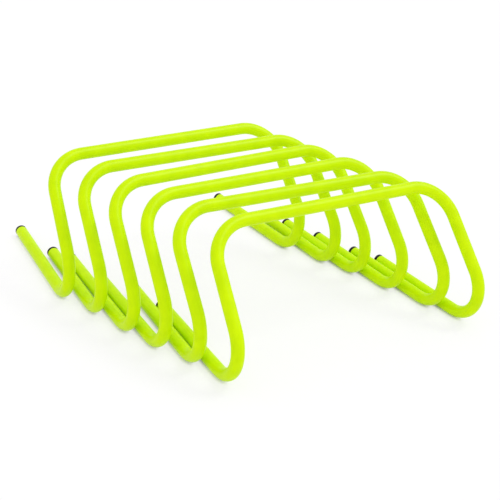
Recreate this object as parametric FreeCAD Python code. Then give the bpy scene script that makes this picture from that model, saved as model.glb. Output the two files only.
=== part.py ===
import FreeCAD, Part
import math
import os
from FreeCAD import Placement, Rotation, Vector

os.makedirs("parts", exist_ok=True)

# Driving dimensions in mm. X runs along the crossbars, Y from the toes back to the plugged
# ends, Z up from the floor. Corners are where straight tube axes would meet if run on.

# Tube
TUBE_OD = 20.5
TUBE_WALL = 1.8

# One hurdle
HURDLE_HEIGHT = 230.0     # floor to the top of the crossbar
CROSSBAR_WIDTH = 431.0    # between the two top corners
LEG_SPLAY = 13.0          # each toe corner stands this far outside its top corner
LEG_LEAN = 182.0          # the crossbar lies this far behind the toe corners
FOOT_LENGTH = 320.0       # toe corner to the open end, the mean of both feet
BEND_OFFSET = 10.5        # the bends sit off the tube's middle, so the left foot is longer
FOOT_ANGLE = 2.05         # degrees, each foot points inwards from straight back
TOP_BEND_RADIUS = 63.5    # to the tube axis
TOE_BEND_RADIUS = 56.0    # to the tube axis

# End plug, a head flush with the tube and a hollow barbed shank in the bore
PLUG_HEAD_THICKNESS = 7.0
PLUG_HEAD_ROUND = 1.6     # round on the head's outer edge
PLUG_SHANK_LENGTH = 16.0
PLUG_SHANK_WALL = 1.6
PLUG_BARB_HEIGHT = 0.9    # barb tip above the shank
PLUG_BARB_LAND = 0.6      # flat on the barb tip
PLUG_BARB_SLOPE = 2.4     # length of the leading ramp
PLUG_BARB_START = 2.0     # head to the first barb
PLUG_BARB_PITCH = 4.4
PLUG_BORE_CLEARANCE = 0.1  # radial, barb tip to bore
BARBS = 3

# The nested row, counted from the rear hurdle. Each one stands ahead of the one behind it and
# about one tube to its right, so that its feet lie beside the feet behind.
PITCH_2 = 73.0            # hurdle 2 ahead of hurdle 1, and so on down the row
PITCH_3 = 67.0
PITCH_4 = 70.0
PITCH_5 = 70.5
PITCH_6 = 63.0
FOOT_GAP_2 = 7.4          # closest gap between the feet of hurdles 2 and 1, and so on
FOOT_GAP_3 = 0.5
FOOT_GAP_4 = 0.5
FOOT_GAP_5 = 3.7
FOOT_GAP_6 = 0.5
PUSH_CLOSER = 10.0        # a hurdle keeps its gap when pushed this much nearer the one behind

# The tubes are springy, so each hurdle takes its own stance. What isn't named here is square.
TURN_1 = 1.3              # degrees about the vertical, anticlockwise seen from above
TURN_2 = 0.3
TURN_3 = 2.3
TURN_4 = 0.9
TURN_5 = -1.4
SWAY_1 = 9.0              # the crossbar stands this far right of the toes' middle
SWAY_3 = 3.5
SWAY_5 = -12.0
SWAY_6 = -3.0
LEFT_FOOT_ANGLE_2 = 3.0   # degrees, in place of FOOT_ANGLE
LEFT_FOOT_ANGLE_4 = 1.4
LEFT_FOOT_ANGLE_5 = 3.0
REAR_FOOT_ANGLE = 3.75    # both feet of hurdle 1
FOOT_EXTRA_1 = 26.0       # both feet of hurdle 1 are this much longer
FOOT_EXTRA_2 = -13.0
LEFT_FOOT_EXTRA_3 = 24.0
RIGHT_FOOT_EXTRA_6 = 10.0

TUBE_RADIUS = TUBE_OD / 2.0
BORE_RADIUS = TUBE_RADIUS - TUBE_WALL
TOP_HALF = CROSSBAR_WIDTH / 2.0
TOE_HALF = TOP_HALF + LEG_SPLAY
BAR_LEVEL = HURDLE_HEIGHT - TUBE_RADIUS

HURDLES = 6
PITCHES = [PITCH_2, PITCH_3, PITCH_4, PITCH_5, PITCH_6]
FOOT_GAPS = [FOOT_GAP_2, FOOT_GAP_3, FOOT_GAP_4, FOOT_GAP_5, FOOT_GAP_6]
TURNS = {1: TURN_1, 2: TURN_2, 3: TURN_3, 4: TURN_4, 5: TURN_5}
SWAYS = {1: SWAY_1, 3: SWAY_3, 5: SWAY_5, 6: SWAY_6}
LEFT_ANGLES = {1: REAR_FOOT_ANGLE, 2: LEFT_FOOT_ANGLE_2, 4: LEFT_FOOT_ANGLE_4, 5: LEFT_FOOT_ANGLE_5}
RIGHT_ANGLES = {1: REAR_FOOT_ANGLE}
LEFT_EXTRAS = {1: FOOT_EXTRA_1, 2: FOOT_EXTRA_2, 3: LEFT_FOOT_EXTRA_3}
RIGHT_EXTRAS = {1: FOOT_EXTRA_1, 2: FOOT_EXTRA_2, 6: RIGHT_FOOT_EXTRA_6}

# Order of the corners along a tube
LEFT_HEEL, LEFT_TOE, LEFT_TOP, RIGHT_TOP, RIGHT_TOE, RIGHT_HEEL = range(6)
FEET = [(LEFT_TOP, LEFT_TOE, LEFT_HEEL), (RIGHT_TOP, RIGHT_TOE, RIGHT_HEEL)]


def unit(vector):
    return Vector(vector) * (1.0 / vector.Length)


def tangent_length(before, corner, after, radius):
    """Distance from a corner to where its bend begins."""
    angle = (before - corner).getAngle(after - corner)
    return radius / math.tan(angle / 2.0)


def bend(before, corner, after, radius):
    """First, middle and last point of the arc that rounds a corner."""
    u = unit(before - corner)
    w = unit(after - corner)
    t = tangent_length(before, corner, after, radius)
    half = u.getAngle(w) / 2.0
    towards_centre = unit(u + w)
    middle = corner + towards_centre * (radius / math.sin(half) - radius)
    return corner + u * t, middle, corner + w * t


def turned(vector, degrees):
    return Rotation(Vector(0, 0, 1), degrees).multVec(vector)


def hurdle_corners(number):
    """Corners of one hurdle's tube axis in the row's directions, about its toes' middle."""
    turn = TURNS.get(number, 0.0)
    sway = SWAYS.get(number, 0.0)
    left_foot = Vector(0, FOOT_LENGTH + BEND_OFFSET + LEFT_EXTRAS.get(number, 0.0), 0)
    right_foot = Vector(0, FOOT_LENGTH - BEND_OFFSET + RIGHT_EXTRAS.get(number, 0.0), 0)
    left_toe = turned(Vector(-TOE_HALF, 0, TUBE_RADIUS), turn)
    right_toe = turned(Vector(TOE_HALF, 0, TUBE_RADIUS), turn)
    return [
        left_toe + turned(left_foot, -LEFT_ANGLES.get(number, FOOT_ANGLE)),
        left_toe,
        turned(Vector(sway - TOP_HALF, LEG_LEAN, BAR_LEVEL), turn),
        turned(Vector(sway + TOP_HALF, LEG_LEAN, BAR_LEVEL), turn),
        right_toe,
        right_toe + turned(right_foot, RIGHT_ANGLES.get(number, FOOT_ANGLE)),
    ]


def tube_path(corners):
    radii = [TOE_BEND_RADIUS, TOP_BEND_RADIUS, TOP_BEND_RADIUS, TOE_BEND_RADIUS]
    edges = []
    at = corners[0]
    for k, radius in enumerate(radii):
        first, middle, last = bend(corners[k], corners[k + 1], corners[k + 2], radius)
        edges.append(Part.LineSegment(at, first).toShape())
        edges.append(Part.Arc(first, middle, last).toShape())
        at = last
    edges.append(Part.LineSegment(at, corners[-1]).toShape())
    return Part.Wire(edges)


def swept(corners, radius):
    """Round bar of one radius along the whole bent path."""
    along = corners[LEFT_TOE] - corners[LEFT_HEEL]
    section = Part.Wire([Part.makeCircle(radius, corners[LEFT_HEEL], along)])
    return tube_path(corners).makePipeShell([section], True, False)


def make_tube(corners):
    return swept(corners, TUBE_RADIUS).cut(swept(corners, BORE_RADIUS))


def make_plug():
    """Revolved plug: seat at the origin, head towards +Z, shank towards -Z."""
    barb_tip = BORE_RADIUS - PLUG_BORE_CLEARANCE
    shank = barb_tip - PLUG_BARB_HEIGHT
    hollow = shank - PLUG_SHANK_WALL
    top = PLUG_HEAD_THICKNESS
    rim = TUBE_RADIUS - PLUG_HEAD_ROUND
    shoulder = top - PLUG_HEAD_ROUND
    slant = PLUG_HEAD_ROUND * math.sqrt(0.5)
    round_middle = Vector(rim + slant, 0.0, shoulder + slant)
    edges = [
        Part.LineSegment(Vector(0, 0, 0), Vector(0, 0, top)).toShape(),
        Part.LineSegment(Vector(0, 0, top), Vector(rim, 0, top)).toShape(),
        Part.Arc(Vector(rim, 0, top), round_middle, Vector(TUBE_RADIUS, 0, shoulder)).toShape(),
    ]
    outline = [Vector(TUBE_RADIUS, 0, shoulder), Vector(TUBE_RADIUS, 0, 0), Vector(shank, 0, 0)]
    for k in range(BARBS):
        z = -(PLUG_BARB_START + k * PLUG_BARB_PITCH)
        outline.append(Vector(shank, 0, z))
        outline.append(Vector(barb_tip, 0, z))
        outline.append(Vector(barb_tip, 0, z - PLUG_BARB_LAND))
        outline.append(Vector(shank, 0, z - PLUG_BARB_LAND - PLUG_BARB_SLOPE))
    outline.append(Vector(shank, 0, -PLUG_SHANK_LENGTH))
    outline.append(Vector(hollow, 0, -PLUG_SHANK_LENGTH))
    outline.append(Vector(hollow, 0, 0))
    outline.append(Vector(0, 0, 0))
    for a, b in zip(outline[:-1], outline[1:]):
        edges.append(Part.LineSegment(a, b).toShape())
    face = Part.Face(Part.Wire(edges))
    return face.revolve(Vector(0, 0, 0), Vector(0, 0, 1), 360)


def seat_plug(plug, toe, heel):
    """Turn a plug's head outwards along a foot and seat it on the tube's end."""
    seated = plug.copy()
    seated.Placement = Placement(heel, Rotation(Vector(0, 0, 1), heel - toe))
    return seated


def side_step(behind, corners, pitch, gap):
    """Sideways move that leaves the gap between the feet on the tighter side."""
    closer = turned(Vector(0, PUSH_CLOSER, 0), FOOT_ANGLE)
    steps = []
    for top, toe, heel in FEET:
        along = unit(behind[heel] - behind[toe])
        across = Vector(along.y, -along.x, 0)
        bend_end = tangent_length(behind[top], behind[toe], behind[heel], TOE_BEND_RADIUS)
        start = corners[toe] + Vector(0, -pitch, 0) + closer - behind[toe]
        foot = corners[heel] - corners[toe]
        beside_bend = bend_end - start.dot(along)
        plug_end = foot.Length + PLUG_HEAD_THICKNESS
        for length in (beside_bend, plug_end):
            reach = (start + unit(foot) * length).dot(across)
            steps.append((TUBE_OD + gap - reach) / across.x)
    return max(steps)


def row_places(hurdles):
    """Floor position of every hurdle's toes' middle, counted from the rear one."""
    places = [Vector(0, 0, 0)]
    for behind, corners, pitch, gap in zip(hurdles[:-1], hurdles[1:], PITCHES, FOOT_GAPS):
        step = side_step(behind, corners, pitch, gap)
        places.append(places[-1] + Vector(step, -pitch, 0))
    return places


hurdles = [hurdle_corners(number) for number in range(1, HURDLES + 1)]
plug = make_plug()

nodes = {}
for number, (corners, at) in enumerate(zip(hurdles, row_places(hurdles)), start=1):
    pieces = {
        "tube": make_tube(corners),
        "left_plug": seat_plug(plug, corners[LEFT_TOE], corners[LEFT_HEEL]),
        "right_plug": seat_plug(plug, corners[RIGHT_TOE], corners[RIGHT_HEEL]),
    }
    for name, shape in pieces.items():
        shape.translate(at)
        nodes["hurdle_%d_%s" % (number, name)] = shape

# The origin is on the floor under the middle of the whole row.
extent = Part.makeCompound(list(nodes.values())).optimalBoundingBox(False)
to_middle = Vector(-(extent.XMin + extent.XMax) / 2.0, -(extent.YMin + extent.YMax) / 2.0, 0)

for name, shape in nodes.items():
    shape.translate(to_middle)
    shape.exportStep("parts/%s.step" % name)
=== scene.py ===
import math

import bpy
from mathutils import Matrix, Vector

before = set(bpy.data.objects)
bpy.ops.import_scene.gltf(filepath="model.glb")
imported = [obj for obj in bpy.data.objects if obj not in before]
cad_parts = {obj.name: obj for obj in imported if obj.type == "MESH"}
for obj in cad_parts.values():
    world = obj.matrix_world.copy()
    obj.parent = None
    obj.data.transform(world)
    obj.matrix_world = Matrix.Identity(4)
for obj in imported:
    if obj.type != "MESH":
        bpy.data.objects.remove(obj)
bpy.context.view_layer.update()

HURDLES = 6

# Camera of the photograph, in metres, degrees and mm of lens
CAMERA_AZIMUTH = -31.21
CAMERA_ELEVATION = 26.23
CAMERA_ROLL = 3.31
CAMERA_DISTANCE = 1.6463
CAMERA_TARGET = Vector((-0.0720, -0.1797, 0.1574))
CAMERA_LENS = 77.42
SENSOR_WIDTH = 36.0
CLIP_NEAR = 0.01
CLIP_FAR = 100.0

# Light, with spreads in degrees
ROOM_LIGHT = 0.945
KEY_DIRECTION = Vector((-0.50, 0.24, -0.88))
KEY_LIGHT = 0.60
KEY_SPREAD = 18.0
SHEEN_LIGHT = 3.4
SHEEN_SPREAD = 40.0

# Floor, in metres. Closer than CONTACT_REACH to a tube it is lifted less towards white.
FLOOR_HALF = 12.0
FLOOR_LEVEL = -0.0002
FLOOR_WHITE = 0.68        # share of plain white in the open floor as the camera sees it
CONTACT_REACH = 0.006

# Colours
WHITE = (1.0, 1.0, 1.0, 1.0)
FLOOR_COLOUR = (0.96, 0.935, 0.99, 1.0)
LIME_DEEP = (0.555, 0.815, 0.0008, 1.0)
LIME_CLEAR = (0.625, 0.880, 0.0012, 1.0)
LIME_PALE = (0.695, 0.925, 0.0200, 1.0)
BLACK_DEEP = (0.0030, 0.0030, 0.0033, 1.0)
BLACK_WORN = (0.0065, 0.0065, 0.0068, 1.0)

# Places of a Mix node's colour sockets, whose names it uses for other types too
MIX_COLOUR_A = 6
MIX_COLOUR_B = 7
MIX_COLOUR_RESULT = 2


def empty_tree(owner):
    """The node tree of a material or a world, cleared."""
    owner.use_nodes = True
    owner.node_tree.nodes.clear()
    return owner.node_tree


def show(tree, output_type, shader):
    """Ends a tree with the output that shows a shader."""
    output = tree.nodes.new(output_type)
    tree.links.new(shader, output.inputs["Surface"])


def new_material(name):
    material = bpy.data.materials.new(name)
    tree = empty_tree(material)
    shader = tree.nodes.new("ShaderNodeBsdfPrincipled")
    return material, tree, shader


def place_on(tree):
    """The place on the piece, which moves along with it."""
    return tree.nodes.new("ShaderNodeTexCoord").outputs["Object"]


def scaled(tree, source, factor):
    """A vector made longer by one factor."""
    node = tree.nodes.new("ShaderNodeVectorMath")
    node.operation = "SCALE"
    node.inputs["Scale"].default_value = factor
    tree.links.new(source, node.inputs[0])
    return node.outputs["Vector"]


def along_tube(tree, around, along):
    """A vector that changes around a tube and only slowly along it: its normal and its place."""
    space = tree.nodes.new("ShaderNodeTexCoord")
    total = tree.nodes.new("ShaderNodeVectorMath")
    total.operation = "ADD"
    tree.links.new(scaled(tree, space.outputs["Normal"], around), total.inputs[0])
    tree.links.new(scaled(tree, space.outputs["Object"], along), total.inputs[1])
    return total.outputs["Vector"]


def noise(tree, vector, scale, detail, roughness):
    node = tree.nodes.new("ShaderNodeTexNoise")
    node.inputs["Scale"].default_value = scale
    node.inputs["Detail"].default_value = detail
    node.inputs["Roughness"].default_value = roughness
    tree.links.new(vector, node.inputs["Vector"])
    return node.outputs["Fac"]


def ranged(tree, value, source, target):
    """The value with its source range stretched to the target range and clamped there."""
    node = tree.nodes.new("ShaderNodeMapRange")
    node.inputs["From Min"].default_value = source[0]
    node.inputs["From Max"].default_value = source[1]
    node.inputs["To Min"].default_value = target[0]
    node.inputs["To Max"].default_value = target[1]
    tree.links.new(value, node.inputs["Value"])
    return node.outputs["Result"]


def joined(tree, operation, a, b):
    """Two values joined by a Math node."""
    node = tree.nodes.new("ShaderNodeMath")
    node.operation = operation
    tree.links.new(a, node.inputs[0])
    tree.links.new(b, node.inputs[1])
    return node.outputs["Value"]


def mixed(tree, factor, a, b):
    """Blend of two colours. Each is a plain colour or another node's output."""
    node = tree.nodes.new("ShaderNodeMix")
    node.data_type = "RGBA"
    tree.links.new(factor, node.inputs["Factor"])
    for colour, socket in ((a, node.inputs[MIX_COLOUR_A]), (b, node.inputs[MIX_COLOUR_B])):
        if isinstance(colour, bpy.types.NodeSocket):
            tree.links.new(colour, socket)
        else:
            socket.default_value = colour
    return node.outputs[MIX_COLOUR_RESULT]


def blended(tree, factor, a, b):
    """Shader a where the factor is 0 and shader b where it is 1."""
    node = tree.nodes.new("ShaderNodeMixShader")
    tree.links.new(factor, node.inputs["Fac"])
    tree.links.new(a, node.inputs[1])
    tree.links.new(b, node.inputs[2])
    return node.outputs["Shader"]


def bump(tree, height, strength, distance):
    node = tree.nodes.new("ShaderNodeBump")
    node.inputs["Strength"].default_value = strength
    node.inputs["Distance"].default_value = distance
    tree.links.new(height, node.inputs["Height"])
    return node.outputs["Normal"]


def lime_pvc():
    """Extruded, self-coloured lime PVC: drawn streaks along the tube, faint clouding and a satin skin."""
    material, tree, shader = new_material("lime_pvc")
    place = place_on(tree)
    streaks = noise(tree, along_tube(tree, around=4.3, along=9.0), scale=1.0, detail=3.0, roughness=0.55)
    rubs = noise(tree, along_tube(tree, around=9.0, along=45.0), scale=1.0, detail=2.0, roughness=0.6)
    clouds = noise(tree, place, scale=45.0, detail=2.0, roughness=0.5)
    grain = noise(tree, place, scale=2000.0, detail=2.0, roughness=0.5)

    body = mixed(tree, ranged(tree, clouds, (0.3, 0.7), (0.0, 1.0)), LIME_DEEP, LIME_CLEAR)
    drawn = mixed(tree, ranged(tree, streaks, (0.35, 0.75), (0.0, 0.45)), body, LIME_CLEAR)
    rubbed = mixed(tree, ranged(tree, rubs, (0.66, 0.82), (0.0, 0.35)), drawn, LIME_PALE)
    tree.links.new(rubbed, shader.inputs["Base Color"])
    tree.links.new(ranged(tree, streaks, (0.3, 0.7), (0.27, 0.34)), shader.inputs["Roughness"])
    shader.inputs["IOR"].default_value = 1.45
    shader.inputs["Specular IOR Level"].default_value = 0.055
    tree.links.new(bump(tree, grain, strength=0.06, distance=0.00006), shader.inputs["Normal"])
    show(tree, "ShaderNodeOutputMaterial", shader.outputs["BSDF"])
    return material


def black_polyethylene():
    """Moulded black polyethylene: matt, with a fine spark-eroded grain and slightly worn patches."""
    material, tree, shader = new_material("black_polyethylene")
    place = place_on(tree)
    grain = noise(tree, place, scale=2200.0, detail=3.0, roughness=0.6)
    patches = noise(tree, place, scale=260.0, detail=2.0, roughness=0.5)

    worn = mixed(tree, ranged(tree, patches, (0.35, 0.75), (0.0, 1.0)), BLACK_DEEP, BLACK_WORN)
    tree.links.new(worn, shader.inputs["Base Color"])
    tree.links.new(ranged(tree, patches, (0.3, 0.7), (0.46, 0.62)), shader.inputs["Roughness"])
    shader.inputs["Specular IOR Level"].default_value = 0.18
    tree.links.new(bump(tree, grain, strength=0.25, distance=0.00008), shader.inputs["Normal"])
    show(tree, "ShaderNodeOutputMaterial", shader.outputs["BSDF"])
    return material


def plain_white(tree, node_type, strength):
    """An emission or a background of plain white."""
    node = tree.nodes.new(node_type)
    node.inputs["Color"].default_value = WHITE
    node.inputs["Strength"].default_value = strength
    return node.outputs[0]


def seen_rays(tree):
    """1 for what the camera sees, also in a reflection or through glass, and 0 for light cast."""
    path = tree.nodes.new("ShaderNodeLightPath")
    seen = joined(tree, "MAXIMUM", path.outputs["Is Camera Ray"], path.outputs["Is Glossy Ray"])
    return joined(tree, "MAXIMUM", seen, path.outputs["Is Transmission Ray"])


def white_floor():
    """Matt white that keeps the shadow. Away from the tubes it is seen lifted towards plain white."""
    material, tree, shader = new_material("white_floor")
    shader.inputs["Base Color"].default_value = FLOOR_COLOUR
    shader.inputs["Roughness"].default_value = 0.9
    shader.inputs["Specular IOR Level"].default_value = 0.0
    openness = tree.nodes.new("ShaderNodeAmbientOcclusion")
    openness.samples = 16
    openness.inputs["Distance"].default_value = CONTACT_REACH
    open_lift = ranged(tree, openness.outputs["AO"], (0.0, 0.95), (0.0, FLOOR_WHITE))
    lift = joined(tree, "MULTIPLY", open_lift, seen_rays(tree))
    white = plain_white(tree, "ShaderNodeEmission", 1.0)
    show(tree, "ShaderNodeOutputMaterial", blended(tree, lift, shader.outputs["BSDF"], white))
    return material


def white_room():
    """Even white room light, seen as plain white."""
    world = bpy.data.worlds.new("white_room")
    tree = empty_tree(world)
    room = plain_white(tree, "ShaderNodeBackground", ROOM_LIGHT)
    backdrop = plain_white(tree, "ShaderNodeBackground", 1.0)
    show(tree, "ShaderNodeOutputWorld", blended(tree, seen_rays(tree), room, backdrop))
    return world


def broad_source(name, energy, spread):
    """A far lamp in the key's direction, as wide as its spread in degrees."""
    data = bpy.data.lights.new(name, "SUN")
    data.energy = energy
    data.angle = math.radians(spread)
    lamp = bpy.data.objects.new(name, data)
    lamp.rotation_mode = "QUATERNION"
    lamp.rotation_quaternion = KEY_DIRECTION.to_track_quat("-Z", "Y")
    bpy.context.scene.collection.objects.link(lamp)
    return lamp


# The part: every piece keeps its CAD shape and gets its material
finishes = {
    "tube": (lime_pvc(), "lime_tube"),
    "left_plug": (black_polyethylene(), "black_plug"),
}
finishes["right_plug"] = finishes["left_plug"]
for number in range(1, HURDLES + 1):
    for piece_name, (material, slot) in finishes.items():
        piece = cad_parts["hurdle_%d_%s" % (number, piece_name)]
        piece.data.materials.clear()
        piece.data.materials.append(material)

# Floor
corner_signs = [(-1, -1), (1, -1), (1, 1), (-1, 1)]
floor_corners = [(x * FLOOR_HALF, y * FLOOR_HALF, FLOOR_LEVEL) for x, y in corner_signs]
floor_mesh = bpy.data.meshes.new("floor")
floor_mesh.from_pydata(floor_corners, [], [(0, 1, 2, 3)])
floor_mesh.materials.append(white_floor())
floor = bpy.data.objects.new("floor", floor_mesh)
bpy.context.scene.collection.objects.link(floor)

# Soft studio light: an even white room, a broad key high on the right, and a wider softbox in the same
# direction that shows only as the sheen on the plastic
bpy.context.scene.world = white_room()
broad_source("broad_key", KEY_LIGHT, KEY_SPREAD)
softbox = broad_source("softbox_sheen", SHEEN_LIGHT, SHEEN_SPREAD)
softbox.visible_diffuse = False

# Camera
azimuth = math.radians(CAMERA_AZIMUTH)
elevation = math.radians(CAMERA_ELEVATION)
roll = math.radians(CAMERA_ROLL)
back = Vector((
    math.sin(azimuth) * math.cos(elevation),
    -math.cos(azimuth) * math.cos(elevation),
    math.sin(elevation),
))
right = (-back).cross(Vector((0.0, 0.0, 1.0))).normalized()
up = right.cross(-back)
rolled_right = right * math.cos(roll) + up * math.sin(roll)
rolled_up = up * math.cos(roll) - right * math.sin(roll)
position = CAMERA_TARGET + back * CAMERA_DISTANCE
camera_data = bpy.data.cameras.new("camera")
camera_data.sensor_width = SENSOR_WIDTH
camera_data.lens = CAMERA_LENS
camera_data.clip_start = CLIP_NEAR
camera_data.clip_end = CLIP_FAR
camera = bpy.data.objects.new("camera", camera_data)
camera.matrix_world = Matrix((
    (rolled_right.x, rolled_up.x, back.x, position.x),
    (rolled_right.y, rolled_up.y, back.y, position.y),
    (rolled_right.z, rolled_up.z, back.z, position.z),
    (0.0, 0.0, 0.0, 1.0),
))
bpy.context.scene.collection.objects.link(camera)
bpy.context.scene.camera = camera

bpy.context.scene.view_settings.view_transform = "Standard"
